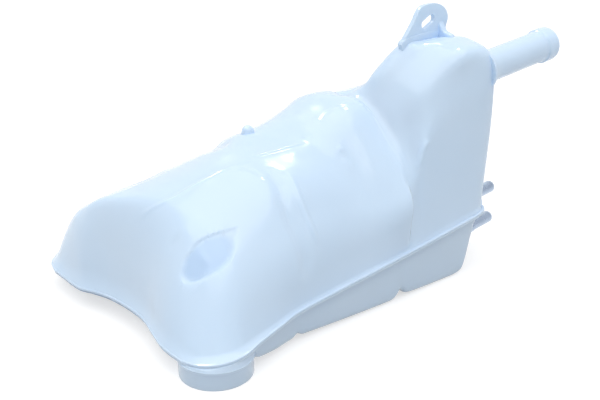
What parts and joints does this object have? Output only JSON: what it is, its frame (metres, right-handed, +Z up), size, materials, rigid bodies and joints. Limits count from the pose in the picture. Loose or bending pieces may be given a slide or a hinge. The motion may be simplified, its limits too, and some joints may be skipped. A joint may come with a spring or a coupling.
{
  "type": "coolant expansion tank",
  "caption": "Translucent plastic coolant expansion tank with a stepped body, hose spigot, mounting ear, level pins and open filler neck, lying neck down.",
  "frame": {"origin": "centre of the filler neck's rim, on the surface that the tank lies on", "axes": "+X along the seam towards the hose spigot, +Y to the back, +Z up as it lies with its filler neck down"},
  "size_m": [0.3382, 0.2201, 0.1975],
  "materials": {
    "milky_plastic": "milky translucent, softly glossy moulded polypropylene",
    "pin_metal": "smooth bare metal with rounded tips"
  },
  "bodies": {
    "root": {"upper_shell": "milky_plastic", "lower_shell": "milky_plastic", "upper_level_pin": "pin_metal", "lower_level_pin": "pin_metal"}
  },
  "joints": []
}
